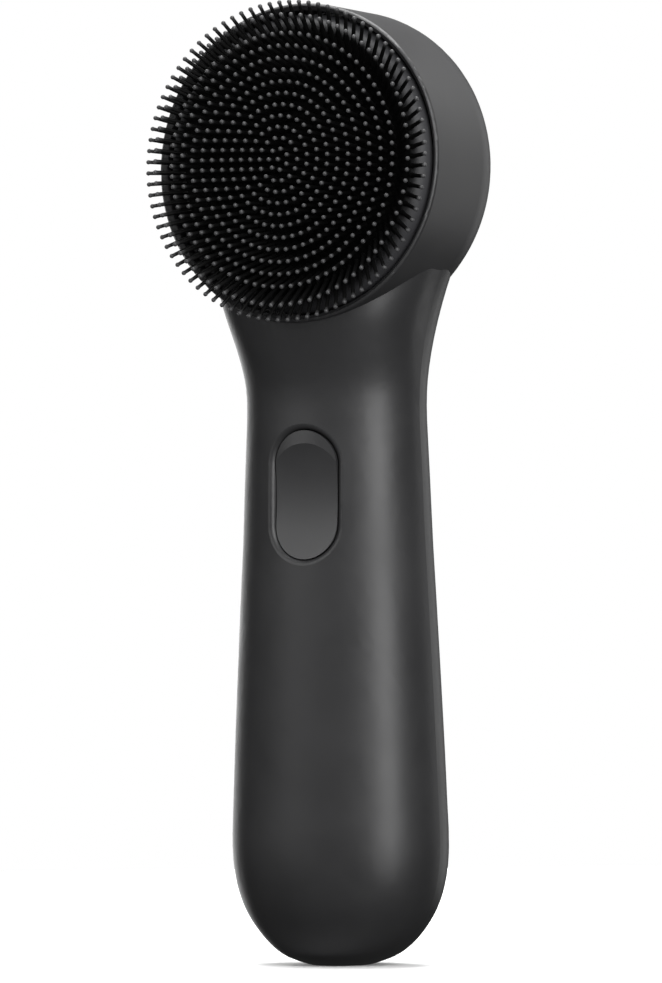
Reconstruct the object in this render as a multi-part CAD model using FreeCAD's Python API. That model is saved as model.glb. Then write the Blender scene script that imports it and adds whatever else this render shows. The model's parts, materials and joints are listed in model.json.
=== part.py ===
import FreeCAD, Part
import math
import os

from FreeCAD import Placement, Rotation, Vector

# Rechargeable facial cleansing brush, millimetres. The handle stands along +Z, its front faces -Y,
# and the origin is the centre of the charging socket's mouth at the bottom end of the handle.

# --- driving dimensions: handle ---------------------------------------------------------------
BELLY_Z = 25.0            # height of the widest part of the handle
BELLY_W = 22.65           # half width there
NECK_Z = 110.0            # height of the slimmest part
NECK_W = 18.8             # half width there
NECK_ARC = 68.0           # radius of the concave side outline from the neck into the head
FLARE_TOP = 143.0         # height at which that outline meets the head
FORM_TOP = 150.0          # the handle form ends inside the head here
DEPTH_RATIO = 0.71        # half depth over half width of the handle
END_FLAT = 0.9834         # how far the rounded bottom end runs before its small flat
END_ROUND_Z = 7.0         # below this height the section grows rounder towards the flat
FORM_POINTS = 28          # points round each section of the handle form

# --- driving dimensions: head -----------------------------------------------------------------
HEAD_Z = 157.3            # height of the head's centre
HEAD_R = 31.6             # outer radius
HEAD_PITCH = 5.0          # the face of the head looks up by this many degrees
RIM_H = 14.6              # rim plane in front of the head's centre
BACK_H = -15.5            # flat back of the head
BACK_ROUND = 12.0         # rounding of the head's back edge
RIM_ROUND = 0.7           # rounding of the rim's outer edge
POCKET_R = 30.25          # wall of the recess that the brush head turns in
POCKET_H = 8.6            # floor of that recess
FLOOR_H = 6.6             # back face of the floor

# --- driving dimensions: shells ---------------------------------------------------------------
WALL = 2.0
PARTING_Y = 5.5           # the two shells meet in this plane
SEAL_DEEP = 0.6
SEAL_OUT = 0.7            # the gasket lies between these two insets from the outer surface
SEAL_IN = 1.3
REVEAL = 0.25             # fine groove along the joint of the shells
REVEAL_TOP = 118.0

# --- driving dimensions: button ---------------------------------------------------------------
BUTTON_Z = 93.2
BUTTON_HALF = (7.1, 12.9)     # half width and half height of the opening
BUTTON_GAP = 0.2
BUTTON_LIP = 1.1              # rounding of the lip round the opening
BUTTON_SUNK = 0.45            # the cap lies this far under the handle's surface
DISH_R = 48.0                 # hollow of the cap, rounded about a level axis
DISH_DEEP = 1.4
FLANGE_HALF = (8.3, 14.1)
FLANGE_Y = (-10.2, -9.2)
SEAL_PLATE_HALF = (9.8, 15.6)
SEAL_PLATE_Y = (-8.4, -7.6)
STEM_R = 2.0
STEM_END_Y = -7.4

# --- driving dimensions: inside the handle ----------------------------------------------------
BOARD_Y = (-4.2, -2.8)
BOARD_HALF = 10.0
BOARD_Z = (27.0, 115.5)
BOARD_SCREWS = ((-8.0, 31.0), (8.0, 31.0), (-8.0, 112.2), (8.0, 112.2))
SWITCH_SIDE = 6.0
SWITCH_DEEP = 2.2
PLUNGER_R = 1.6
CELL_R = 7.1
CELL_Y = 4.4
CELL_Z = (17.0, 67.0)
CRADLE_WALL = 1.0
LEAD_R = 0.45
MINUS_LEAD_X = -3.5
CRADLE_END = 2.0              # the cradle's end walls reach this far past the cell
SOCKET_R = 4.0
SOCKET_BORE = 1.78
SOCKET_DEEP = 9.0
SOCKET_TOP = 13.0

# --- driving dimensions: drive in the head ----------------------------------------------------
MODULE = 0.5
PRESSURE = math.radians(20.0)
ADDENDUM = 0.75
DEDENDUM = 1.0
BACKLASH = 0.93
PINION_TEETH = 14
WHEEL_TEETH = 42
OUTPUT_TEETH = 49
MOTOR_AT = (0.0, -15.5)
FIRST_MESH = MODULE * (PINION_TEETH + WHEEL_TEETH) / 2
SECOND_MESH = MODULE * (PINION_TEETH + OUTPUT_TEETH) / 2
LAYER_A = (0.1, 2.6)
LAYER_B = (3.2, 6.2)
PLATE_H = (-1.9, -0.3)
PLATE_R = 26.0
PLATE_SCREW_R = 22.5
PLATE_SCREW_ANGLES = (10.0, 75.0, 150.0, 225.0)
SPINDLE_R = 2.5
RUN_FIT = 0.04
BUSH_R = 4.0
COLLAR_R = 6.0
COLLAR_H = 9.4
SPINDLE_TIP = 13.4
DRIVE_FLAT = 1.9
DRIVE_START = 9.8
DRIVE_FIT = 0.05
IDLER_PIN_R = 1.0
CAN_R = 8.0
CAN_BACK = -11.5
CAP_BACK = -12.4
MOTOR_SHAFT_R = 0.75
SCREW_SHANK_R = 0.9
SCREW_HEAD_R = 1.8
SCREW_HEAD_H = 1.2
BOSS_R = 2.5

# --- driving dimensions: brush head -----------------------------------------------------------
PAD_R = 29.55
PAD_BACK = 9.1
PAD_TOP = 17.6
PAD_WALL = 1.5
SHOULDER_R = 4.6              # rounding from the dome into the skirt
SHOULDER_H = 11.6             # height at which it reaches the skirt
SHOULDER_FROM = math.radians(6.4)   # slope at which the dome meets it
CARRIER_WALL = 1.6
TIP_EDGE = (30.6, 19.6)       # radius and height of the outermost bristle tips
TIP_TOP = 22.9
HUB_R = 5.6
MAGNET_R = 2.2
MAGNET_H = (13.7, 14.9)

HEAD_PLACE = Placement(Vector(0, 0, HEAD_Z), Rotation(Vector(1, 0, 0), 90.0 - HEAD_PITCH))


def save(node, shape):
    """Write one sub-part to its own STEP file."""
    shape = shape.removeSplitter()
    solids = shape.Solids
    kept = solids[0] if len(solids) == 1 else Part.makeCompound(solids)
    kept.exportStep("parts/" + node + ".step")
    state = "valid" if kept.isValid() else "INVALID"
    print(node, len(solids), "solid(s)", round(kept.Volume, 1), "mm3", state)


def in_head(shape):
    """Move a shape from the head's frame (+Z out of the face, +Y up) to its place."""
    moved = shape.copy()
    moved.Placement = HEAD_PLACE.multiply(shape.Placement)
    return moved


def rod(radius, low, high, at=(0.0, 0.0)):
    return Part.makeCylinder(radius, high - low, Vector(at[0], at[1], low))


def ring(outer, inner, low, high, at=(0.0, 0.0)):
    return rod(outer, low, high, at).cut(rod(inner, low - 1, high + 1, at))


def slab(x, y, z):
    return Part.makeBox(x[1] - x[0], y[1] - y[0], z[1] - z[0], Vector(x[0], y[0], z[0]))


def arc(start, through, end):
    return Part.Arc(*[Vector(p[0], p[1], 0) for p in (start, through, end)]).toShape()


def line(start, end):
    return Part.makeLine(Vector(start[0], start[1], 0), Vector(end[0], end[1], 0))


def turned(edges):
    """Turn a closed outline of (radius, height) edges about the height axis, which becomes +Z."""
    face = Part.Face(Part.Wire(edges))
    solid = face.revolve(Vector(0, 0, 0), Vector(0, 1, 0), 360)
    solid.rotate(Vector(0, 0, 0), Vector(1, 0, 0), 90)
    return solid


def outline(points):
    """Straight edges through points of (radius, height), closed."""
    return [line(a, b) for a, b in zip(points, points[1:] + points[:1])]


def sagged(start, end):
    """Middle point of the dome arc that leaves the axis square to it at start and passes end."""
    rise = start[1] - end[1]
    radius = (end[0] ** 2 + rise ** 2) / (2 * rise)
    half = math.asin(end[0] / radius) / 2
    return (radius * math.sin(half), start[1] - radius * (1 - math.cos(half)))


def smooth(u):
    u = min(max(u, 0.0), 1.0)
    return u * u * (3 - 2 * u)


# --- outer form -------------------------------------------------------------------------------
def half_width(z):
    """Half width of the handle form: round end, long taper, concave flare into the head."""
    if z < BELLY_Z:
        t = END_FLAT * (BELLY_Z - z) / BELLY_Z
        return BELLY_W * (1 - t ** 2.4) ** (1 / 2.2)
    if z < NECK_Z:
        u = (z - BELLY_Z) / (NECK_Z - BELLY_Z)
        return BELLY_W - (BELLY_W - NECK_W) * (0.7 * u + 0.3 * smooth(u))
    z = min(z, FLARE_TOP)
    return NECK_W + NECK_ARC - math.sqrt(NECK_ARC ** 2 - (z - NECK_Z) ** 2)


def face_plane(z, height):
    """Distance from the handle's axis, at one height, of a plane parallel to the head's face."""
    pitch = math.radians(HEAD_PITCH)
    return (height - (z - HEAD_Z) * math.sin(pitch)) / math.cos(pitch)


def own_depth(z):
    """Half depth of the plain handle form: oval along the grip, round at the very end."""
    ratio = DEPTH_RATIO + (1 - DEPTH_RATIO) * (1 - smooth(z / END_ROUND_Z))
    return ratio * half_width(min(z, NECK_Z))


def front_depth(z):
    """Half depth towards the brush: it sweeps out from the neck to the rim of the head."""
    own = own_depth(z)
    under_rim = face_plane(max(z, 128.0), RIM_H - 0.35)
    return own + (under_rim - own) * smooth((z - 111.0) / 19.0)


def back_depth(z):
    own = own_depth(z)
    on_back = -face_plane(max(z, 137.0), BACK_H + 0.5)
    return own + (on_back - own) * smooth((z - 112.0) / 26.0)


def section(z, inset):
    """Closed smooth section of the handle form; squarer in front where it nears the head."""
    wide = half_width(z) - inset
    deep = {-1: front_depth(z) - inset, 1: back_depth(z) - inset}
    squareness = {-1: 2.1 + 0.9 * smooth((z - 112.0) / 22.0), 1: 2.1 + 0.5 * smooth((z - 112.0) / 22.0)}
    points = []
    for k in range(FORM_POINTS):
        angle = 2 * math.pi * k / FORM_POINTS
        c, s = math.cos(angle), math.sin(angle)
        side = -1 if s < 0 else 1
        n = squareness[side]
        reach = (abs(c / wide) ** n + abs(s / deep[side]) ** n) ** (-1 / n)
        points.append(Vector(reach * c, reach * s, z))
    curve = Part.BSplineCurve()
    curve.interpolate(Points=points, PeriodicFlag=True)
    return Part.Wire(curve.toShape())


def handle_form(inset):
    low = inset * 1.05
    bottom = [low, low + 0.5, low + 1.3, low + 2.6, 5.2, 8.0, 12.0, 16.0, 20.0, BELLY_Z]
    taper = [33.0, 45.0, 60.0, 75.0, 90.0, 102.0, NECK_Z]
    flare = [114.0, 118.0, 121.5, 125.0, 128.5, 132.0, 135.5, 139.0, FLARE_TOP, FORM_TOP]
    return Part.makeLoft([section(z, inset) for z in bottom + taper + flare], True, False)


def head_form(inset):
    radius = HEAD_R - inset
    front = RIM_H - inset
    back = BACK_H + inset
    bend = BACK_ROUND - inset
    rim = RIM_ROUND
    k = math.sqrt(0.5)
    on_bend = (radius - bend + bend * k, back + bend - bend * k)
    edges = [
        line((0, back), (radius - bend, back)),
        arc((radius - bend, back), on_bend, (radius, back + bend)),
        line((radius, back + bend), (radius, front - rim)),
        arc((radius, front - rim), (radius - rim + rim * k, front - rim + rim * k), (radius - rim, front)),
        line((radius - rim, front), (0, front)),
        line((0, front), (0, back)),
    ]
    return in_head(turned(edges))


def body_form(inset):
    return handle_form(inset).fuse(head_form(inset))


def stadium(half, y):
    """Upright stadium prism through the handle's front between two depths."""
    wide, tall = half
    straight = tall - wide
    block = slab((-wide, wide), y, (BUTTON_Z - straight, BUTTON_Z + straight))
    for end in (-1, 1):
        middle = Vector(0, y[0], BUTTON_Z + end * straight)
        block = block.fuse(Part.makeCylinder(wide, y[1] - y[0], middle, Vector(0, 1, 0)))
    return block.removeSplitter()


# --- shells -----------------------------------------------------------------------------------
def recess():
    """Recess for the brush head, with the slope inside its rim."""
    lip = POCKET_R + 0.85
    return in_head(turned(outline([
        (0, RIM_H + 9), (lip + 9, RIM_H + 9), (lip + 9, RIM_H), (lip - 0.05, RIM_H),
        (POCKET_R, RIM_H - 0.85), (POCKET_R, POCKET_H), (0, POCKET_H),
    ])))


def cavity(inner_form):
    """Hollow of both shells: it stays behind the recess and its wall."""
    keep = in_head(rod(HEAD_R + 0.4, FLOOR_H, RIM_H + 20))
    return inner_form.cut(keep)


def plate_screw_spots():
    return [
        (PLATE_SCREW_R * math.cos(math.radians(a)), PLATE_SCREW_R * math.sin(math.radians(a)))
        for a in PLATE_SCREW_ANGLES
    ]


def front_bosses(inner):
    """Posts and rings that stand on the inside of the front shell."""
    ring_in = (FLANGE_HALF[0] + 0.3, FLANGE_HALF[1] + 0.3)
    button_ring = stadium(SEAL_PLATE_HALF, (-15.0, SEAL_PLATE_Y[0])).cut(stadium(ring_in, (-16.0, 0.0)))
    posts = [button_ring]
    for x, z in BOARD_SCREWS:
        posts.append(Part.makeCylinder(BOSS_R - 0.4, 11.0, Vector(x, BOARD_Y[0] - 11.0, z), Vector(0, 1, 0)))
    posts.append(ring(SOCKET_R + 1.6, SOCKET_R, 0.8, SOCKET_TOP - 1.5))
    grown = posts[0].multiFuse(posts[1:]).common(inner)
    head = [in_head(rod(BOSS_R, PLATE_H[1], FLOOR_H + 0.5, spot)) for spot in plate_screw_spots()]
    head.append(in_head(rod(COLLAR_R, FLOOR_H, COLLAR_H)))
    return grown.multiFuse(head)


def front_holes():
    holes = [in_head(rod(BUSH_R, FLOOR_H - 1, COLLAR_H + 1)), rod(SOCKET_R, -1.0, SOCKET_TOP)]
    for x, z in BOARD_SCREWS:
        holes.append(Part.makeCylinder(SCREW_SHANK_R, 5.0, Vector(x, BOARD_Y[0] - 5.0, z), Vector(0, 1, 0)))
    for spot in plate_screw_spots():
        holes.append(in_head(rod(SCREW_SHANK_R, PLATE_H[1] - 1, PLATE_H[1] + 5.5, spot)))
    x, y = idler_at()
    holes.append(in_head(rod(IDLER_PIN_R, FLOOR_H - 1, FLOOR_H + 0.8, (x, y))))
    return holes


def lip_edges(shape):
    """Edges of the button opening that lie on the handle's outer surface."""
    found = []
    for edge in shape.Edges:
        c = edge.BoundBox
        in_opening = abs(c.XMax) < BUTTON_HALF[0] + 0.1 and abs(c.XMin) < BUTTON_HALF[0] + 0.1
        in_height = abs(edge.CenterOfMass.z - BUTTON_Z) < BUTTON_HALF[1] + 0.1
        if in_opening and in_height and c.YMax < -12.6:
            found.append(edge)
    return found


def make_shells(outer, inner, gasket):
    hollow = outer.cut(cavity(inner)).cut(recess())
    hollow = hollow.cut(stadium(BUTTON_HALF, (-20.0, -9.0)))
    edges = lip_edges(hollow)
    hollow = hollow.makeFillet(BUTTON_LIP, edges)
    front = hollow.common(slab((-50, 50), (-50, PARTING_Y), (-10, 200)))
    front = front.fuse(front_bosses(cavity(inner)))
    holes = front_holes()
    front = front.cut(holes[0].multiFuse(holes[1:])).cut(gasket)
    back = hollow.common(slab((-50, 50), (PARTING_Y, 50), (-10, 200)))
    ribs = []
    for z in (24.0, 40.0, 56.0):
        rib = slab((-30, 30), (PARTING_Y + 0.6, 30), (z, z + 2.0)).common(cavity(inner))
        ribs.append(rib.cut(rod(CELL_R + CRADLE_WALL, z - 1, z + 3, (0.0, CELL_Y))))
    back = back.multiFuse(ribs)
    return front, back


def reveal_band(outer, core):
    groove = slab((-50, 50), (PARTING_Y - REVEAL / 2, PARTING_Y + REVEAL / 2), (-10, REVEAL_TOP))
    return outer.cut(core).common(groove)


def make_gasket(outside, inside):
    layer = slab((-50, 50), (PARTING_Y - SEAL_DEEP, PARTING_Y), (-10, 200))
    return outside.cut(inside).common(layer)


# --- button -----------------------------------------------------------------------------------
def make_button_cap():
    half = (BUTTON_HALF[0] - BUTTON_GAP, BUTTON_HALF[1] - BUTTON_GAP)
    cap = stadium(half, (-20.0, FLANGE_Y[0])).common(handle_form(BUTTON_SUNK))
    surface = -front_depth(BUTTON_Z) + BUTTON_SUNK
    hollow_axis = Vector(-20, surface - DISH_R + DISH_DEEP, BUTTON_Z)
    cap = cap.cut(Part.makeCylinder(DISH_R, 40, hollow_axis, Vector(1, 0, 0)))
    foot = Vector(0, FLANGE_Y[1], BUTTON_Z)
    stem = Part.makeCylinder(STEM_R, STEM_END_Y - FLANGE_Y[1], foot, Vector(0, 1, 0))
    return cap.fuse(stadium(FLANGE_HALF, FLANGE_Y)).fuse(stem)


def make_button_seal():
    hole = Part.makeCylinder(STEM_R + 0.05, 4, Vector(0, SEAL_PLATE_Y[0] - 1, BUTTON_Z), Vector(0, 1, 0))
    return stadium(SEAL_PLATE_HALF, SEAL_PLATE_Y).cut(hole)


def make_switch():
    side = SWITCH_SIDE / 2
    top = BOARD_Y[0] - SWITCH_DEEP
    body = slab((-side, side), (top, BOARD_Y[0]), (BUTTON_Z - side, BUTTON_Z + side))
    bore = Part.makeCylinder(PLUNGER_R + 0.05, 1.7, Vector(0, top, BUTTON_Z), Vector(0, 1, 0))
    plunger = Part.makeCylinder(PLUNGER_R, 1.9, Vector(0, STEM_END_Y, BUTTON_Z), Vector(0, 1, 0))
    return body.cut(bore), plunger


# --- inside the handle ------------------------------------------------------------------------
def make_board():
    board = slab((-BOARD_HALF, BOARD_HALF), BOARD_Y, BOARD_Z)
    for x, z in BOARD_SCREWS:
        hole = Part.makeCylinder(SCREW_SHANK_R + 0.1, 4, Vector(x, BOARD_Y[0] - 1, z), Vector(0, 1, 0))
        board = board.cut(hole)
    return board


def make_board_parts():
    """Charge controller, motor driver, coil and capacitors on the front of the board."""
    sizes = [(5.0, 1.2, 5.0, 0.0, 46.0), (4.0, 1.0, 3.0, 0.0, 60.0), (5.0, 2.4, 5.0, -4.5, 70.0)]
    sizes += [(1.6, 0.8, 0.8, 5.0, z) for z in (44.0, 48.0, 59.0, 62.0, 70.0)]
    blocks = []
    for wide, deep, tall, x, z in sizes:
        x_span = (x - wide / 2, x + wide / 2)
        blocks.append(slab(x_span, (BOARD_Y[0] - deep, BOARD_Y[0]), (z - tall / 2, z + tall / 2)))
    return Part.makeCompound(blocks)


def screw(low, direction):
    """Pan-head screw with a cross recess; the head's seat is at low and the shank runs along direction."""
    shank = Part.makeCylinder(SCREW_SHANK_R, 5.0, Vector(0, 0, 0), Vector(0, 0, 1))
    head = Part.makeCylinder(SCREW_HEAD_R, SCREW_HEAD_H, Vector(0, 0, -SCREW_HEAD_H), Vector(0, 0, 1))
    head = head.fuse(shank)
    deep = (-SCREW_HEAD_H - 1, -SCREW_HEAD_H + 0.6)
    for x, y in (((-1.1, 1.1), (-0.2, 0.2)), ((-0.2, 0.2), (-1.1, 1.1))):
        head = head.cut(slab(x, y, deep))
    head.Placement = Placement(low, Rotation(Vector(0, 0, 1), direction))
    return head


def make_screws():
    board = [screw(Vector(x, BOARD_Y[1], z), Vector(0, -1, 0)) for x, z in BOARD_SCREWS]
    plate = [in_head(screw(Vector(x, y, PLATE_H[0]), Vector(0, 0, 1))) for x, y in plate_screw_spots()]
    return Part.makeCompound(board), Part.makeCompound(plate)


def make_cell():
    low, high = CELL_Z
    cell = rod(CELL_R, low, high, (0.0, CELL_Y))
    return cell.fuse(rod(2.8, high, high + 0.8, (0.0, CELL_Y)))


def make_cradle():
    """Half-round tray with an end wall at each end, open towards the board."""
    low, high = CELL_Z
    outer = rod(CELL_R + CRADLE_WALL, low - CRADLE_END, high + CRADLE_END, (0.0, CELL_Y))
    tray = outer.cut(rod(CELL_R, low - 0.6, high + 1.2, (0.0, CELL_Y)))
    for x, z in ((MINUS_LEAD_X, low - CRADLE_END), (0.0, high)):
        tray = tray.cut(rod(LEAD_R + 0.05, z - 1, z + CRADLE_END + 1, (x, CELL_Y)))
    return tray.cut(slab((-20, 20), (-20, CELL_Y - 2.0), (0, 90)))


def make_cell_tabs():
    low, high = CELL_Z
    bottom = rod(5.0, low - 0.6, low, (0.0, CELL_Y))
    top = rod(5.0, high + 0.8, high + 1.2, (0.0, CELL_Y))
    return Part.makeCompound([bottom, top])


def make_socket():
    """Round jack socket: the bore is lined by a sleeve contact and closed by a tip contact."""
    body = rod(SOCKET_R, 0.0, SOCKET_TOP).cut(rod(SOCKET_BORE, -1.0, SOCKET_DEEP))
    tip = rod(1.2, SOCKET_DEEP, SOCKET_TOP + 2.5)
    tail = slab((SOCKET_BORE + 0.2, SOCKET_BORE + 0.8), (-0.8, 0.8), (SOCKET_DEEP - 3.0, SOCKET_TOP + 2.5))
    sleeve = ring(SOCKET_BORE + 0.8, SOCKET_BORE, SOCKET_DEEP - 4.0, SOCKET_DEEP - 2.0).fuse(tail)
    return body.cut(tip).cut(sleeve), Part.makeCompound([tip, sleeve])


def make_socket_seal():
    return ring(SOCKET_R + 1.6, SOCKET_R, SOCKET_TOP - 1.5, SOCKET_TOP)


def wire_run(points, radius):
    """Insulated lead along straight runs with round corners."""
    pieces = []
    for a, b in zip(points, points[1:]):
        pieces.append(Part.makeCylinder(radius, (b - a).Length, a, b - a))
    for corner in points[1:-1]:
        pieces.append(Part.makeSphere(radius, corner))
    return pieces[0].multiFuse(pieces[1:])


def head_point(x, y, h):
    return HEAD_PLACE.multVec(Vector(x, y, h))


def make_motor_leads():
    leads = []
    for side in (-1, 1):
        end = head_point(side * 3.0, MOTOR_AT[1] - CAN_R - 1.2, -6.0)
        solder = head_point(side * 3.0, MOTOR_AT[1] - CAN_R - 1.2, CAP_BACK + 1.5)
        start = Vector(side * 4.0, BOARD_Y[1] + 0.6, BOARD_Z[1] - 2.0)
        up = Vector(side * 4.0, BOARD_Y[1] + 0.6, BOARD_Z[1] + 4.0)
        leads.append(wire_run([start, up, end, solder], LEAD_R))
    return Part.makeCompound(leads)


def make_cell_leads():
    """Two leads that leave the cradle's end walls, turn forward and run along the board."""
    low, high = CELL_Z
    top = high + CRADLE_END + LEAD_R
    bottom = low - CRADLE_END - LEAD_R
    behind = BOARD_Y[1] + LEAD_R
    before = BOARD_Y[0] - LEAD_R
    plus = [(0, CELL_Y, high + 1.2), (0, CELL_Y, top), (0, behind, top), (0, behind, top + 8.0)]
    minus = [(MINUS_LEAD_X, y, z) for y, z in ((CELL_Y, low - 0.6), (CELL_Y, bottom), (before, bottom))]
    minus.append((MINUS_LEAD_X, before, BOARD_Z[0] + 2.0))
    return Part.makeCompound([wire_run([Vector(*p) for p in run], LEAD_R) for run in (plus, minus)])


# --- drive in the head ------------------------------------------------------------------------
def involute(angle):
    return math.tan(angle) - angle


def gear(teeth, low, high, bore, phase):
    """Spur gear with involute flanks, one tooth centred at the phase angle."""
    pitch_r = MODULE * teeth / 2
    base_r = pitch_r * math.cos(PRESSURE)
    root_r = pitch_r - MODULE * DEDENDUM
    tip_r = pitch_r + MODULE * ADDENDUM
    first = max(base_r, root_r)
    radii = [first + (tip_r - first) * step / 3 for step in range(4)]
    half = BACKLASH * math.pi / (2 * teeth) + involute(PRESSURE)
    flank = [(r, half - involute(math.acos(min(1.0, base_r / r)))) for r in radii]
    if root_r < first:
        flank.insert(0, (root_r, flank[0][1]))
    points = []
    for k in range(teeth):
        middle = phase + 2 * math.pi * k / teeth
        around = [(r, middle - a) for r, a in flank] + [(r, middle + a) for r, a in reversed(flank)]
        points += [Vector(r * math.cos(t), r * math.sin(t), low) for r, t in around]
    face = Part.Face(Part.makePolygon(points + points[:1]))
    return face.extrude(Vector(0, 0, high - low)).cut(rod(bore, low - 1, high + 1))


def idler_at():
    """Centre of the idler, at its two centre distances from the spindle and the motor."""
    drop = -MOTOR_AT[1]
    y = (FIRST_MESH ** 2 - SECOND_MESH ** 2 - drop ** 2) / (2 * drop)
    return (math.sqrt(SECOND_MESH ** 2 - y ** 2), y)


def mesh_phase(teeth_a, phase_a, heading, teeth_b):
    """Phase of gear B so that its gap meets A's tooth; heading is the direction from A to B."""
    offset = (heading - phase_a) * teeth_a / (2 * math.pi)
    return heading + math.pi - (0.5 - offset) * 2 * math.pi / teeth_b


def make_gears():
    x, y = idler_at()
    to_idler = math.atan2(y, x)
    from_motor = math.atan2(y - MOTOR_AT[1], x - MOTOR_AT[0])
    small_phase = mesh_phase(OUTPUT_TEETH, 0.0, to_idler, PINION_TEETH)
    large_phase = small_phase
    motor_phase = mesh_phase(WHEEL_TEETH, large_phase, from_motor + math.pi, PINION_TEETH)
    output = gear(OUTPUT_TEETH, LAYER_B[0], LAYER_B[1], SPINDLE_R, 0.0)
    bore = IDLER_PIN_R + RUN_FIT
    idler = gear(WHEEL_TEETH, LAYER_A[0], LAYER_A[1], bore, large_phase)
    idler = idler.fuse(gear(PINION_TEETH, LAYER_A[1], LAYER_B[1], bore, small_phase))
    pinion = gear(PINION_TEETH, LAYER_A[0], LAYER_A[1], MOTOR_SHAFT_R, motor_phase)
    idler.translate(Vector(x, y, 0))
    pinion.translate(Vector(MOTOR_AT[0], MOTOR_AT[1], 0))
    return output, idler, pinion


def make_plate():
    plate = rod(PLATE_R, PLATE_H[0], PLATE_H[1])
    low, high = PLATE_H[0] - 1, PLATE_H[1] + 1
    plate = plate.cut(rod(BUSH_R, low, high))
    plate = plate.cut(rod(2.0, low, high, MOTOR_AT))
    plate = plate.cut(rod(IDLER_PIN_R, low, high, idler_at()))
    for spot in plate_screw_spots():
        plate = plate.cut(rod(SCREW_SHANK_R, low, high, spot))
    return plate


def double_d(grow, low, high):
    """Round end with two flats, which the brush head slides onto."""
    flat = DRIVE_FLAT + grow
    return rod(SPINDLE_R + grow, low, high).common(slab((-9, 9), (-flat, flat), (low - 1, high + 1)))


def make_spindle():
    spindle = rod(SPINDLE_R, PLATE_H[0] - 1.0, DRIVE_START)
    return spindle.fuse(double_d(0.0, DRIVE_START, SPINDLE_TIP))


def make_bushes():
    bore = SPINDLE_R + RUN_FIT
    front = ring(BUSH_R, bore, FLOOR_H, COLLAR_H - 1.0)
    flange = ring(BUSH_R + 1, bore, PLATE_H[0] - 1.0, PLATE_H[0])
    rear = ring(BUSH_R, bore, PLATE_H[0], PLATE_H[1]).fuse(flange)
    seal = ring(BUSH_R, bore, COLLAR_H - 1.0, COLLAR_H)
    return front, rear, seal


def make_spindle_collar():
    """Retaining collar between the output gear and the rear bush."""
    return ring(SPINDLE_R + 1.2, SPINDLE_R, PLATE_H[1] + 0.15, LAYER_B[0])


def make_motor():
    x, y = MOTOR_AT
    can = rod(CAN_R, CAN_BACK, PLATE_H[0], MOTOR_AT)
    can = can.cut(rod(CAN_R - 0.6, CAN_BACK - 1, PLATE_H[0] - 0.8, MOTOR_AT))
    can = can.cut(rod(MOTOR_SHAFT_R + RUN_FIT, CAN_BACK, PLATE_H[0] + 1, MOTOR_AT))
    cap = rod(CAN_R, CAP_BACK, CAN_BACK, MOTOR_AT).fuse(ring(2.4, 1.2, CAN_BACK, CAN_BACK + 1.4, MOTOR_AT))
    cap = cap.cut(rod(MOTOR_SHAFT_R + RUN_FIT, CAN_BACK - 0.4, CAN_BACK + 2, MOTOR_AT))
    whole = ring(CAN_R - 0.6, CAN_R - 1.8, CAN_BACK, PLATE_H[0] - 1.2, MOTOR_AT)
    magnets = whole.cut(slab((x - 1.2, x + 1.2), (y - 20, y + 20), (-20, 0)))
    shaft = rod(MOTOR_SHAFT_R, CAN_BACK - 0.3, LAYER_A[1] - 0.1, MOTOR_AT)
    armature = ring(CAN_R - 2.2, MOTOR_SHAFT_R, CAN_BACK + 2.4, PLATE_H[0] - 1.6, MOTOR_AT)
    for k in range(3):
        slot = slab((x + 2.2, x + 8), (y - 0.5, y + 0.5), (-20, 0))
        slot.rotate(Vector(x, y, 0), Vector(0, 0, 1), 120 * k + 30)
        armature = armature.cut(slot)
    return can, cap, magnets, shaft, armature


# --- brush head -------------------------------------------------------------------------------
def dome_edges(top, edge):
    return arc((0, top), sagged((0, top), edge), edge)


def on_shoulder(angle, inset):
    """Point of the pad's round shoulder, moved inwards, at an angle from straight up."""
    reach = SHOULDER_R - inset
    return (PAD_R - SHOULDER_R + reach * math.sin(angle), SHOULDER_H + reach * math.cos(angle))


def shoulder_edge(inset, end):
    angles = (SHOULDER_FROM, (SHOULDER_FROM + end) / 2, end)
    return arc(*[on_shoulder(angle, inset) for angle in angles])


def make_pad():
    """Silicone cover: a low dome whose round shoulder and skirt close over the carrier."""
    square = math.pi / 2
    inner_top = PAD_TOP - PAD_WALL
    inner_side = PAD_R - PAD_WALL
    inner_edge = on_shoulder(SHOULDER_FROM, PAD_WALL)
    edges = [
        dome_edges(PAD_TOP, on_shoulder(SHOULDER_FROM, 0.0)),
        shoulder_edge(0.0, square),
        line((PAD_R, SHOULDER_H), (PAD_R, PAD_BACK)),
        line((PAD_R, PAD_BACK), (inner_side, PAD_BACK)),
        line((inner_side, PAD_BACK), (inner_side, SHOULDER_H)),
        shoulder_edge(PAD_WALL, square),
        arc(inner_edge, sagged((0, inner_top), inner_edge), (0, inner_top)),
        line((0, inner_top), (0, PAD_TOP)),
    ]
    return turned(edges)


def make_carrier():
    """Hollow dish under the silicone, with the hub that the spindle drives."""
    top = PAD_TOP - PAD_WALL
    side = PAD_R - PAD_WALL
    inner_side = side - CARRIER_WALL
    edge = on_shoulder(SHOULDER_FROM, PAD_WALL)
    under = (edge[0] - CARRIER_WALL, edge[1] - CARRIER_WALL)
    hub_front = MAGNET_H[0]
    edges = [
        dome_edges(top, edge),
        shoulder_edge(PAD_WALL, math.pi / 2),
        line((side, SHOULDER_H), (side, PAD_BACK)),
        line((side, PAD_BACK), (inner_side, PAD_BACK)),
        line((inner_side, PAD_BACK), (inner_side, SHOULDER_H)),
        line((inner_side, SHOULDER_H), under),
        line(under, (HUB_R, hub_front)),
        line((HUB_R, hub_front), (HUB_R, DRIVE_START)),
        line((HUB_R, DRIVE_START), (0, DRIVE_START)),
        line((0, DRIVE_START), (0, top)),
    ]
    carrier = turned(edges)
    socket = double_d(DRIVE_FIT, DRIVE_START - 1, hub_front)
    return carrier.cut(socket).cut(rod(MAGNET_R, MAGNET_H[0], MAGNET_H[1]))


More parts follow.
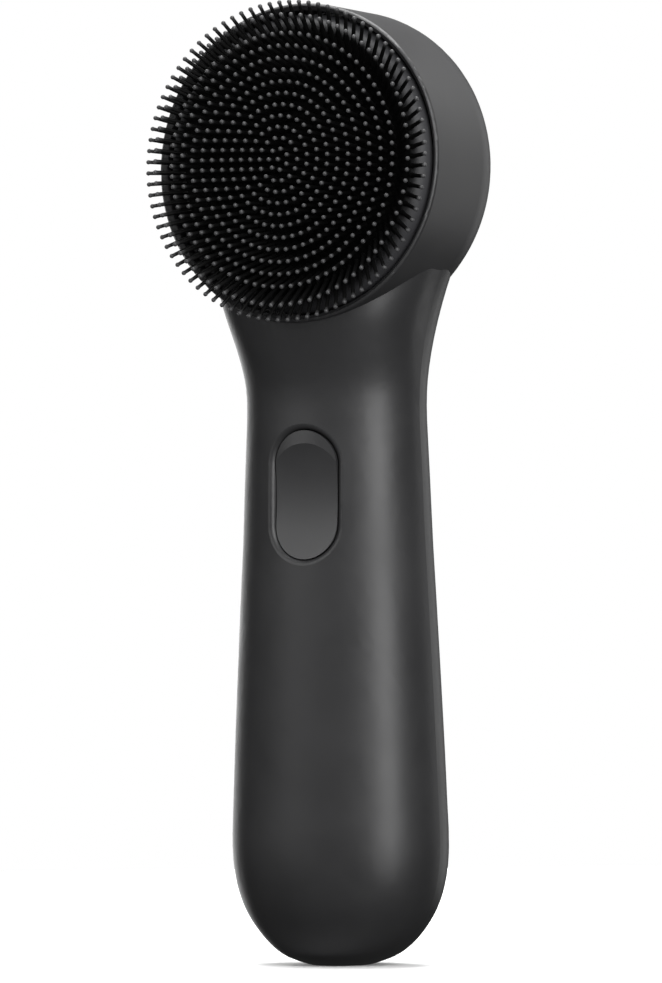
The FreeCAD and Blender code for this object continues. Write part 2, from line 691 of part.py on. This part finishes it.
def make_bristle_field():
    """Space taken by the bristles, from the dome and its shoulder to the tips."""
    last = math.pi / 5
    return turned([
        dome_edges(TIP_TOP, TIP_EDGE),
        line(TIP_EDGE, on_shoulder(last, 0.0)),
        shoulder_edge(0.0, last),
        dome_edges(PAD_TOP, on_shoulder(SHOULDER_FROM, 0.0)),
        line((0, PAD_TOP), (0, TIP_TOP)),
    ])


def main():
    os.makedirs("parts", exist_ok=True)
    outer = body_form(0.0)
    inner = body_form(WALL)
    gasket = make_gasket(body_form(SEAL_OUT), body_form(SEAL_IN))
    front, back = make_shells(outer, inner, gasket)
    groove = reveal_band(outer, body_form(0.3))
    save("front_shell", front.cut(groove))
    save("back_shell", back.cut(groove))
    save("shell_gasket", gasket)

    save("button_cap", make_button_cap())
    save("button_seal", make_button_seal())
    switch, plunger = make_switch()
    save("tact_switch", switch)
    save("switch_plunger", plunger)

    board_screws, plate_screws = make_screws()
    save("circuit_board", make_board())
    save("board_components", make_board_parts())
    save("board_screws", board_screws)
    save("battery_cell", make_cell())
    save("battery_cradle", make_cradle())
    save("battery_tabs", make_cell_tabs())
    save("battery_leads", make_cell_leads())
    save("motor_leads", make_motor_leads())
    socket, contacts = make_socket()
    save("charging_socket", socket)
    save("socket_contacts", contacts)
    save("socket_seal", make_socket_seal())

    output, idler, pinion = make_gears()
    front_bush, rear_bush, seal = make_bushes()
    can, cap, magnets, shaft, armature = make_motor()
    save("gearbox_plate", in_head(make_plate()))
    save("gearbox_screws", plate_screws)
    save("front_bush", in_head(front_bush))
    save("rear_bush", in_head(rear_bush))
    save("spindle_seal", in_head(seal))
    save("idler_pin", in_head(rod(IDLER_PIN_R, PLATE_H[0], FLOOR_H + 0.8, idler_at())))
    save("motor_can", in_head(can))
    save("motor_end_cap", in_head(cap))
    save("motor_magnets", in_head(magnets))
    save("motor_shaft", in_head(shaft))
    save("motor_armature", in_head(armature))
    save("motor_pinion", in_head(pinion))
    save("idler_gear", in_head(idler))
    save("spindle", in_head(make_spindle()))
    save("output_gear", in_head(output))
    save("spindle_collar", in_head(make_spindle_collar()))

    save("brush_carrier", in_head(make_carrier()))
    save("carrier_magnet", in_head(rod(MAGNET_R, MAGNET_H[0], MAGNET_H[1])))
    save("bristle_pad", in_head(make_pad()))
    save("bristle_field", in_head(make_bristle_field()))


main()
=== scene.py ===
# %% [markdown]
# A cordless facial cleansing brush, dressed around its CAD model. The CAD model brings every hard
# part at its real size and place: shells, button, motor, gears, socket. It stays where it is, and
# this file gives each part a finish. Only what the CAD model holds as a plain block is built here:
# the silicone bristles. All lengths are metres, and +Z runs up the handle.

# %% Load the frame and keep its box
import json
import math

import bpy
from mathutils import Matrix, Vector
from mathutils.bvhtree import BVHTree


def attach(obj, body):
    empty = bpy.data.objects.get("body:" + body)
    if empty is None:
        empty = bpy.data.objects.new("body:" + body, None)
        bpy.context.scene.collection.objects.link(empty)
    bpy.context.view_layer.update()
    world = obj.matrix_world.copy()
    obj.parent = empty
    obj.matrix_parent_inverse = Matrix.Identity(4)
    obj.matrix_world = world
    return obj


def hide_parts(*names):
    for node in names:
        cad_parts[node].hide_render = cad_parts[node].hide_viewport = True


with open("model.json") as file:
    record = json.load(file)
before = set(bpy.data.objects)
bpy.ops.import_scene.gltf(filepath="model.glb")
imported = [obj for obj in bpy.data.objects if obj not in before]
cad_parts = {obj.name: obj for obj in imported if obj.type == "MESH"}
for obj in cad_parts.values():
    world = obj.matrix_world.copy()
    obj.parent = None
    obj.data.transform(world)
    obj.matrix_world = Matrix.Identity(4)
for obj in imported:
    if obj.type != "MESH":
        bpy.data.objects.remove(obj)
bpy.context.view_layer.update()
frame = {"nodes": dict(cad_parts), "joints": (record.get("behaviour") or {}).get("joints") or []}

MM = 0.001
nodes = frame["nodes"]

# %% [markdown]
# Every finish starts from the name of its real material and how its surface was made. Colours are
# written as sRGB hex, the way a paint chart gives them, but shaders work in linear light, so one
# function turns one into the other. Building a shader tree is one gesture over and over (add a node,
# set it, link it), so a single small function does that for any kind of node.

# %% Colours and nodes
def linear(hex_code):
    """sRGB hex code to linear red, green, blue and a full alpha."""
    values = [int(hex_code[i:i + 2], 16) / 255 for i in (1, 3, 5)]
    return [v / 12.92 if v <= 0.04045 else ((v + 0.055) / 1.055) ** 2.4 for v in values] + [1.0]


def add(tree, kind, settings, links=()):
    """Add one node, set its sockets or properties, and link (socket, source) pairs into it."""
    node = tree.nodes.new(kind)
    for name, value in settings.items():
        if name in node.inputs:
            node.inputs[name].default_value = value
        else:
            setattr(node, name, value)
    for name, source in links:
        tree.links.new(source, node.inputs[name])
    return node


print("charcoal #2B2B2C is", [round(v, 4) for v in linear("#2B2B2C")[:3]], "in linear light")

# %% [markdown]
# Moulded plastic and rubber are never one flat value. The tool's spark-eroded wall prints a fine
# grain, and a large, faint drift of tone comes from flow and handling. The grain could be a picture
# wrapped round the part, but a picture has seams and a fixed sharpness. Noise measured in real
# millimetres has neither. So one function builds the layers that all of these surfaces share: a
# drift between two near tones, a drift in roughness, and a grain as bump.

# %% A surface with drift and grain
def surface(name, tones, roughness, grain_mm, relief_mm, drift_mm=14.0, **sockets):
    """Material whose tone and roughness drift over drift_mm and whose bump has a grain of grain_mm."""
    material = bpy.data.materials.new(name)
    material.use_nodes = True
    tree = material.node_tree
    tree.nodes.clear()
    place = add(tree, "ShaderNodeTexCoord", {})
    drift = add(tree, "ShaderNodeTexNoise", {"Scale": 1 / (drift_mm * MM), "Detail": 3.0},
                [("Vector", place.outputs["Object"])])
    tone = add(tree, "ShaderNodeValToRGB", {}, [("Fac", drift.outputs["Fac"])])
    tone.color_ramp.elements[0].position, tone.color_ramp.elements[1].position = 0.35, 0.65
    for stop, hex_code in zip(tone.color_ramp.elements, tones):
        stop.color = linear(hex_code)
    polish = add(tree, "ShaderNodeMapRange", {"From Min": 0.3, "From Max": 0.7, "To Min": roughness[0],
                                              "To Max": roughness[1]}, [("Value", drift.outputs["Fac"])])
    grain = add(tree, "ShaderNodeTexNoise", {"Scale": 1 / (grain_mm * MM), "Detail": 2.0},
                [("Vector", place.outputs["Object"])])
    bump = add(tree, "ShaderNodeBump", {"Strength": 1.0, "Distance": relief_mm * MM},
               [("Height", grain.outputs["Fac"])])
    shader = add(tree, "ShaderNodeBsdfPrincipled", sockets,
                 [("Base Color", tone.outputs["Color"]), ("Roughness", polish.outputs["Result"]),
                  ("Normal", bump.outputs["Normal"])])
    add(tree, "ShaderNodeOutputMaterial", {}, [("Surface", shader.outputs["BSDF"])])
    return material


def dress(material, *names):
    """Give CAD nodes a material in place of the one they came with."""
    for name in names:
        nodes[name].data.materials.clear()
        nodes[name].data.materials.append(material)
    print(material.name, "on", ", ".join(names))

# %% [markdown]
# The housing is ABS with a soft-touch lacquer, the satin skin that power tools and shavers have. The
# lacquer holds matting silica, so its highlights are wide and dim, and it looks almost black face
# on and pale at a glancing angle. ABS and lacquer have an IOR near 1.5. A real matting grain is
# about 0.05 mm, too fine for a picture of the whole brush, so it is drawn at 0.25 mm.

# %% Soft-touch ABS for the housing and the button
soft_touch_abs = surface("soft_touch_lacquer_on_abs", ("#29292A", "#2D2D2E"), (0.44, 0.50),
                         grain_mm=0.25, relief_mm=0.004, IOR=1.5)
button_abs = surface("satin_moulded_abs_button", ("#2C2C2D", "#303031"), (0.38, 0.44),
                     grain_mm=0.2, relief_mm=0.003, IOR=1.5)
dress(soft_touch_abs, "front_shell", "back_shell")
dress(button_abs, "button_cap")

# %% [markdown]
# The brush head is liquid silicone rubber over an ABS dish. Silicone is softer to the eye than ABS:
# IOR 1.41 and a broad sheen. On the skirt it is charcoal. Each pin ends in a ball, which catches the
# light, over a shank that its neighbours shade. That light and shade are painted: the shank is painted
# almost black with its sheen turned down, and the ball is painted paler with the full sheen. The dish
# under it all is plain black ABS.

# %% Silicone and ABS of the brush head
skirt_silicone = surface("moulded_silicone_skirt", ("#303032", "#363638"), (0.46, 0.54),
                         grain_mm=0.3, relief_mm=0.004, IOR=1.41)
# The bristles' near-black base tone is painted shade: they are the same silicone as the skirt.
bristle_silicone = surface("moulded_silicone_bristles", ("#0B0B0B", "#101010"), (0.40, 0.48),
                           grain_mm=0.3, relief_mm=0.002, IOR=1.41)
carrier_abs = surface("moulded_black_abs", ("#161616", "#1C1C1C"), (0.42, 0.5), grain_mm=0.3,
                      relief_mm=0.005, IOR=1.54)


# The ball's paler tone is painted light.
BALL_FROM, BALL_FULL = 0.78, 0.95     # shares of a pin's length between which its ball's tone comes in


def paint_shade_and_light(material, amount_from, second, sheen):
    """Paint light and shade into a surface: a second tone and a second sheen, mixed in by an amount that
    another node gives.
    """
    tree = material.node_tree
    shader = next(n for n in tree.nodes if n.type == "BSDF_PRINCIPLED")
    tone = shader.inputs["Base Color"].links[0].from_socket
    amount = amount_from(tree)
    mix = add(tree, "ShaderNodeMixRGB", {"Color2": linear(second)}, [("Fac", amount), ("Color1", tone)])
    shine = add(tree, "ShaderNodeMapRange", {"To Min": sheen[0], "To Max": sheen[1]}, [("Value", amount)])
    tree.links.new(mix.outputs["Color"], shader.inputs["Base Color"])
    tree.links.new(shine.outputs["Result"], shader.inputs["Specular IOR Level"])


def painted_pin_light_mask(tree):
    """Mask for a pin's painted shade and light: 0 on its shank, 1 over its ball, from the mesh's own
    attribute.
    """
    level = add(tree, "ShaderNodeAttribute", {"attribute_name": "along"})
    ramp = add(tree, "ShaderNodeMapRange", {"From Min": BALL_FROM, "From Max": BALL_FULL},
               [("Value", level.outputs["Fac"])])
    return ramp.outputs["Result"]


# Painted shade on the shank and painted light on the ball, with the sheen following the same mask.
paint_shade_and_light(bristle_silicone, painted_pin_light_mask, "#404041", sheen=(0.12, 0.5))
dress(skirt_silicone, "bristle_pad")
dress(carrier_abs, "brush_carrier")

# %% [markdown]
# Inside, each part has its own trade finish. Seals are grey silicone. The gearbox plate, the
# motor's end cap and the cell's cradle are natural ABS, creamy white. The gears are acetal, whiter
# and waxier. Socket, switch and chips are black glass-filled nylon. The leads are PVC.

# %% Plastics and rubbers inside
seal_silicone = surface("grey_silicone_seal", ("#6F7274", "#7A7D7F"), (0.5, 0.6), 0.3, 0.004, IOR=1.41)
natural_abs = surface("natural_moulded_abs", ("#D9D2BF", "#E2DCCB"), (0.42, 0.5), 0.4, 0.006, IOR=1.54)
acetal = surface("moulded_white_acetal", ("#ECEAE2", "#F3F1EA"), (0.3, 0.38), 0.4, 0.003, IOR=1.48)
nylon = surface("black_glass_filled_nylon", ("#141415", "#1D1D1E"), (0.45, 0.6), 0.2, 0.008, IOR=1.53)
pvc = surface("red_pvc_insulation", ("#9E1B16", "#AD211B"), (0.34, 0.42), 0.5, 0.004, IOR=1.53)
dress(seal_silicone, "shell_gasket", "button_seal", "socket_seal", "spindle_seal")
dress(natural_abs, "gearbox_plate", "motor_end_cap", "battery_cradle")
dress(acetal, "idler_gear", "output_gear")
dress(nylon, "tact_switch", "switch_plunger", "board_components", "charging_socket")
dress(pvc, "battery_leads", "motor_leads")

# %% [markdown]
# Metals take their colour from the base colour alone, with metallic at 1 and the default IOR. What
# tells them apart is how they were worked: ground steel has a fine, even haze, drawn aluminium is a
# little softer, nickel plate is nearly a mirror, and sintered bronze is open and matt. Ferrite isn't
# a metal but a dark ceramic with a crystal grain.

# %% Metals and the magnet
aluminium = surface("drawn_aluminium", ("#BFC1C3", "#CBCDCF"), (0.3, 0.4), 0.3, 0.003, Metallic=1.0)
steel = surface("ground_steel", ("#A9ABAD", "#B7B9BB"), (0.26, 0.36), 0.12, 0.003, Metallic=1.0)
nickel = surface("nickel_plate", ("#C6C1B4", "#CFCABE"), (0.14, 0.2), 0.4, 0.001, Metallic=1.0)
brass = surface("turned_brass", ("#C39A4A", "#CDA556"), (0.22, 0.3), 0.2, 0.002, Metallic=1.0)
bronze = surface("sintered_bronze", ("#8A6238", "#9A7046"), (0.5, 0.62), 0.15, 0.010, Metallic=1.0)
ferrite = surface("sintered_ferrite", ("#26272A", "#2F3034"), (0.5, 0.65), 0.2, 0.010, IOR=2.3)
dress(steel, "spindle", "spindle_collar", "idler_pin", "board_screws", "gearbox_screws", "motor_can",
      "motor_shaft")
dress(aluminium, "battery_cell")
dress(nickel, "battery_tabs", "carrier_magnet")
dress(brass, "motor_pinion", "socket_contacts")
dress(bronze, "front_bush", "rear_bush")
dress(ferrite, "motor_magnets")

# %% [markdown]
# Two finishes have a pattern of their own. The circuit board is glass-epoxy under green solder
# mask, through which copper tracks show as paler, raised lines. A wave texture bent by noise gives
# lines about 0.8 mm apart. The armature is wound with enamelled copper wire 0.2 mm thick, drawn
# here at 0.4 mm so that the turns can be seen: the same wave, straight, in copper.

# %% Circuit board and winding
def lined(name, tones, pitch_mm, bend, axis, **sockets):
    """Material with parallel raised lines, pitch_mm apart along an axis."""
    material = surface(name, tones, (0.3, 0.4), pitch_mm, 0.0, **sockets)
    tree = material.node_tree
    place = next(n for n in tree.nodes if n.type == "TEX_COORD")
    shader = next(n for n in tree.nodes if n.type == "BSDF_PRINCIPLED")
    # a wave repeats every 2 pi / 20 of its scale, hence the factor
    lines = add(tree, "ShaderNodeTexWave", {"Scale": math.pi / (10 * pitch_mm * MM), "Distortion": bend,
                                            "Detail": 1.0, "bands_direction": axis},
                [("Vector", place.outputs["Object"])])
    tone = add(tree, "ShaderNodeValToRGB", {}, [("Fac", lines.outputs["Fac"])])
    for stop, hex_code in zip(tone.color_ramp.elements, tones):
        stop.color = linear(hex_code)
    bump = add(tree, "ShaderNodeBump", {"Distance": 0.04 * MM}, [("Height", lines.outputs["Fac"])])
    tree.links.new(tone.outputs["Color"], shader.inputs["Base Color"])
    tree.links.new(bump.outputs["Normal"], shader.inputs["Normal"])
    return material


solder_mask = lined("glass_epoxy_under_solder_mask", ("#0C4A26", "#1B6B3B"), 0.8, 2.5, "X", IOR=1.55)
copper_winding = lined("enamelled_copper_winding", ("#6E3418", "#B4602F"), 0.4, 0.0, "Z", Metallic=1.0)
dress(solder_mask, "circuit_board")
dress(copper_winding, "motor_armature")

# %% [markdown]
# The head has its own frame: it turns about the spindle's axis, which looks up a few degrees. The
# axis and its centre come from the joint, so the bristles sit square on the dome whatever the
# pitch. In that frame each vertex of a CAD node is a radius and a height, and that is all the
# bristles need to know of the dome under them.

# %% The head's frame, measured from the CAD model
spin = next(j for j in frame["joints"] if j["name"] == "brush_spin")
out = Vector(spin["axis"]).normalized()
across = Vector((1.0, 0.0, 0.0))
up = out.cross(across)
head_frame = Matrix.Translation(Vector(spin["pos_m"])) @ Matrix((across, up, out)).transposed().to_4x4()
to_head = head_frame.inverted()


def rings_of(node):
    """(radius, height) of every vertex of a CAD node in the head's frame, in millimetres."""
    local = [to_head @ v.co for v in nodes[node].data.vertices]
    return [(math.hypot(p.x, p.y) / MM, p.z / MM) for p in local]


tip_top = max(h for r, h in rings_of("bristle_field"))
pad_mesh = nodes["bristle_pad"].data
pad_tree = BVHTree.FromPolygons([v.co for v in pad_mesh.vertices], [p.vertices[:] for p in pad_mesh.polygons])
POLE_R = 0.3              # mm, rays stay this far off the axis, where the dome's faces meet in a point
BESIDE = 0.1              # mm, and this far beside the seam of the turned face
ABOVE = 50                # mm, height that a ray starts from


def dome_height(radius):
    """Height of the pad's outer face at a radius, found by a ray down onto the CAD mesh."""
    start = Vector((max(radius, POLE_R), BESIDE, ABOVE)) * MM
    point = pad_tree.ray_cast(head_frame @ start, -out)[0]
    return (to_head @ point).z / MM


print("skirt radius", round(max(r for r, h in rings_of("bristle_pad")), 2), "tips", round(tip_top, 2),
      "dome at 0, 10, 20 mm:", [round(dome_height(r), 2) for r in (0, 10, 20)])

# %% [markdown]
# Between the pins little light gets in, so the pad lies in shade there. That shade is painted: the
# skirt's tone falls to black under them and its sheen is turned down. The radius comes from the
# object's own coordinates, moved to the spindle's axis, so the painted shade is a ring whatever the view.

# %% Shade under the pins
FIELD_R = 27.4            # mm, the pins stand inside this radius
FIELD_FADE = 1.2          # mm, the tone changes over this far on either side of it


def painted_shade_under_pins(tree):
    """Mask for the painted shade: 1 under the bristles and 0 on the skirt, by distance from the spindle's
    axis.
    """
    place = add(tree, "ShaderNodeTexCoord", {})
    offset = add(tree, "ShaderNodeVectorMath", {"operation": "SUBTRACT"}, [(0, place.outputs["Object"])])
    offset.inputs[1].default_value = head_frame.translation
    cross = add(tree, "ShaderNodeVectorMath", {"operation": "CROSS_PRODUCT"}, [(0, offset.outputs["Vector"])])
    cross.inputs[1].default_value = out
    radius = add(tree, "ShaderNodeVectorMath", {"operation": "LENGTH"}, [(0, cross.outputs["Vector"])])
    ramp = add(tree, "ShaderNodeMapRange",
               {"From Min": (FIELD_R + FIELD_FADE) * MM, "From Max": (FIELD_R - FIELD_FADE) * MM},
               [("Value", radius.outputs["Value"])])
    return ramp.outputs["Result"]


# Painted shade: the pad is painted black under the pins, with its sheen turned down.
paint_shade_and_light(skirt_silicone, painted_shade_under_pins, "#040404", sheen=(0.5, 0.03))
print("pad is black inside", FIELD_R, "mm and charcoal on its skirt")

# %% [markdown]
# A cleansing pad carries rings of slim round-tipped pins. They could be hair particles or geometry
# nodes, but each pin here should be a closed mesh that can be exported and printed. So a pin is
# turned from a short profile: a flared root that fillets into the dome, a shank that tapers, and a
# tip that swells into a ball. The middle pin stands straight, and each ring leans out a little more
# than the one inside it. The last two rings stand on the pad's round shoulder and fan out, which
# gives it its fringe.

# %% Bristle sizes
RING_PITCH = 2.1          # mm between rings
PIN_PITCH = 1.9           # mm between pins along a ring
INNER_RINGS = 11
FRINGE = ((24.9, 6.7, 37.0), (26.8, 6.2, 53.0))    # radius, length and lean in degrees
INNER_LEAN = math.radians(23.0)                    # lean of the last inner ring
TIP_FALL = 0.1            # mm that the tips drop from one inner ring to the next
ROOT_SINK = 0.45          # the root starts this far inside the dome
SHANK_R = (0.43, 0.37)    # at the root and under the tip
TIP_R = 0.46
FILLET = 0.2              # flare of the root
SIDES = 10                # points round a pin
STATIONS = 6              # rings of points round the ball


def pin_profile(length):
    """(radius, height) stations of one pin from its sunk root to near the top of its ball."""
    profile = [(SHANK_R[0] + FILLET, -ROOT_SINK), (SHANK_R[0] + FILLET * 0.8, 0.0), (SHANK_R[0] + 0.04, 0.3),
               (SHANK_R[0], 0.7), (sum(SHANK_R) / 2, length * 0.5), (SHANK_R[1], length - 2.4 * TIP_R)]
    start = math.pi - math.asin(SHANK_R[1] / TIP_R)
    for step in range(STATIONS):
        angle = start * (1 - step / STATIONS)
        profile.append((TIP_R * math.sin(angle), length - TIP_R + TIP_R * math.cos(angle)))
    return profile


def inner_ring(number):
    """(radius, length, lean) of an inner ring, whose pins end a little lower and lean out a little more."""
    radius = RING_PITCH * number
    length = tip_top - dome_height(radius) - TIP_FALL * number
    return radius, length, INNER_LEAN * (number / INNER_RINGS) ** 2


rings = [inner_ring(number) for number in range(INNER_RINGS + 1)]
rings += [(radius, length, math.radians(lean)) for radius, length, lean in FRINGE]
print("rings:", [(round(r, 1), round(length, 1), round(math.degrees(lean))) for r, length, lean in rings])

# %% Bristle rings
def bristle_ring(number, radius, length, lean):
    """One ring of pins as a closed mesh, standing on the dome."""
    count = max(1, round(2 * math.pi * radius / PIN_PITCH))
    profile = pin_profile(length)
    points, levels, faces = [], [], []
    for k in range(count):
        turn = Matrix.Rotation(2 * math.pi * (k + 0.5 * (number % 2)) / count, 4, "Z")
        stand = turn @ Matrix.Translation((radius, 0, dome_height(radius))) @ Matrix.Rotation(lean, 4, "Y")
        first = len(points)
        for r, h in profile:
            for s in range(SIDES):
                angle = 2 * math.pi * s / SIDES
                points.append(stand @ Vector((r * math.cos(angle), r * math.sin(angle), h)))
                levels.append(max(0.0, h / length))
        points.append(stand @ Vector((0, 0, length)))
        levels.append(1.0)
        for level in range(len(profile) - 1):
            for s in range(SIDES):
                a, b = first + level * SIDES + s, first + level * SIDES + (s + 1) % SIDES
                faces.append((a, b, b + SIDES, a + SIDES))
        last = first + (len(profile) - 1) * SIDES
        faces += [(last + s, last + (s + 1) % SIDES, len(points) - 1) for s in range(SIDES)]
        faces.append(tuple(first + s for s in reversed(range(SIDES))))
    mesh = bpy.data.meshes.new(f"bristle_ring_{number:02d}")
    mesh.from_pydata([head_frame @ (p * MM) for p in points], [], faces)
    mesh.polygons.foreach_set("use_smooth", [True] * len(mesh.polygons))
    mesh.attributes.new("along", "FLOAT", "POINT").data.foreach_set("value", levels)
    mesh.materials.append(bristle_silicone)
    ring = bpy.data.objects.new(mesh.name, mesh)
    bpy.context.scene.collection.objects.link(ring)
    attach(ring, "brush_head")
    return ring, count


pins = 0
for number, (radius, length, lean) in enumerate(rings):
    ring, count = bristle_ring(number, radius, length, lean)
    pins += count
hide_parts("bristle_field")
print(pins, "pins in", len(rings) - 1, "rings and one in the middle")

# %% [markdown]
# The stage is a plain pale floor under a plain white surround. A real sweep of paper is lit until it
# runs out into white. Here the floor glows very faintly to do the same, so that its edge doesn't
# show and only the soft shadow at the brush's foot is left. Such a floor would also light the brush
# from below, so it is hidden from bounced light and from reflections.

# %% Floor
FLOOR_R = 0.45
FLOOR_SIDES = 96
FLOOR_GLOW = 0.12
turns = [2 * math.pi * k / FLOOR_SIDES for k in range(FLOOR_SIDES)]
rim = [(FLOOR_R * math.cos(turn), FLOOR_R * math.sin(turn), 0) for turn in turns]
floor_mesh = bpy.data.meshes.new("floor")
floor_mesh.from_pydata(rim, [], [tuple(range(FLOOR_SIDES))])
floor = bpy.data.objects.new("floor", floor_mesh)
bpy.context.scene.collection.objects.link(floor)
floor_mesh.materials.append(surface("pale_matt_floor", ("#F2F2F2", "#F4F4F4"), (0.8, 0.9), 2.0, 0.0, IOR=1.3,
                                    **{"Emission Color": linear("#FFFFFF"), "Emission Strength": FLOOR_GLOW}))
floor.visible_diffuse = False
floor.visible_glossy = False
print("floor disc", 2 * FLOOR_R, "m across")

# %% [markdown]
# The camera stands three metres off with a long lens, as for a catalogue: the far side of the head
# is then hardly smaller than the near one. The lens follows from the height that has to fit, so the
# distance can change without changing the framing.

# %% Camera
AZIMUTH = math.radians(30.0)       # the camera stands to the right of the brush's front
ELEVATION = math.radians(1.0)
ROLL = math.radians(-0.5)
DISTANCE = 3.0
VIEW_HEIGHT = 0.1943               # metres of the brush's plane that the picture's long side shows
AIM_HEIGHT = 0.0936
AIM_LEFT = 0.0013                  # the picture's middle is this far left of the brush's axis
SENSOR = 36.0
toward = Vector((math.sin(AZIMUTH) * math.cos(ELEVATION), -math.cos(AZIMUTH) * math.cos(ELEVATION),
                 math.sin(ELEVATION)))
view_right = Vector((math.cos(AZIMUTH), math.sin(AZIMUTH), 0))
aim = Vector((0, 0, AIM_HEIGHT)) - view_right * AIM_LEFT
lens = bpy.data.cameras.new("camera")
lens.sensor_width = SENSOR
lens.lens = SENSOR * DISTANCE / VIEW_HEIGHT
lens.clip_end = 20                 # metres, past the far edge of the floor
camera = bpy.data.objects.new("camera", lens)
bpy.context.scene.collection.objects.link(camera)
camera.location = aim + toward * DISTANCE
facing = toward.to_track_quat("Z", "Y").to_matrix().to_4x4()
camera.rotation_euler = (facing @ Matrix.Rotation(ROLL, 4, "Z")).to_euler()
bpy.context.scene.camera = camera
print("lens", round(lens.lens), "mm")

# %% [markdown]
# A dark satin body shows little of its own colour: what it shows is the room. So the light is built
# as a product photographer builds it, from soft panels of known size. A tall key panel just right of
# the camera draws the broad soft line down the handle, and a narrow strip far to the left draws a
# thin one. Two panels behind edge the outline. A panel overhead lights the top of the head and lays
# the shadow round the foot. The room adds a weak fill, and is plain white where the camera sees it.

# %% Lights
MID_BRUSH = Vector((0, 0, 0.1))    # every panel faces this point
ROOM_FILL = 0.07


def softbox(name, bearing, height, distance, size, power):
    """Area light that faces the brush; its bearing is in degrees from the camera, right is positive."""
    lamp = bpy.data.lights.new(name, "AREA")
    lamp.shape = "RECTANGLE"
    lamp.size, lamp.size_y = size
    lamp.energy = power
    box = bpy.data.objects.new(name, lamp)
    bpy.context.scene.collection.objects.link(box)
    turn = AZIMUTH + math.radians(bearing)
    box.location = Vector((math.sin(turn) * distance, -math.cos(turn) * distance, height))
    box.rotation_euler = (box.location - MID_BRUSH).to_track_quat("Z", "Y").to_euler()


softbox("key", 19, 0.40, 1.0, (0.42, 1.2), 15.0)
softbox("strip_left", -64, 0.60, 1.0, (0.16, 1.0), 4.2)
softbox("edge_left", -160, 0.35, 1.0, (0.6, 1.3), 8)
softbox("edge_right", 130, 0.35, 1.0, (0.6, 1.3), 3.2)
softbox("overhead", 180, 1.3, 0.25, (1.0, 1.0), 30)

world = bpy.data.worlds.new("studio")
world.use_nodes = True
world.node_tree.nodes.clear()
seen = add(world.node_tree, "ShaderNodeLightPath", {})
room = add(world.node_tree, "ShaderNodeBackground", {"Color": linear("#FFFFFF"), "Strength": ROOM_FILL})
ground = add(world.node_tree, "ShaderNodeBackground", {"Color": linear("#FFFFFF"), "Strength": 1.0})
both = add(world.node_tree, "ShaderNodeMixShader", {}, [("Fac", seen.outputs["Is Camera Ray"])])
world.node_tree.links.new(room.outputs["Background"], both.inputs[1])
world.node_tree.links.new(ground.outputs["Background"], both.inputs[2])
add(world.node_tree, "ShaderNodeOutputWorld", {}, [("Surface", both.outputs["Shader"])])
bpy.context.scene.world = world
bpy.context.scene.view_settings.view_transform = "Standard"
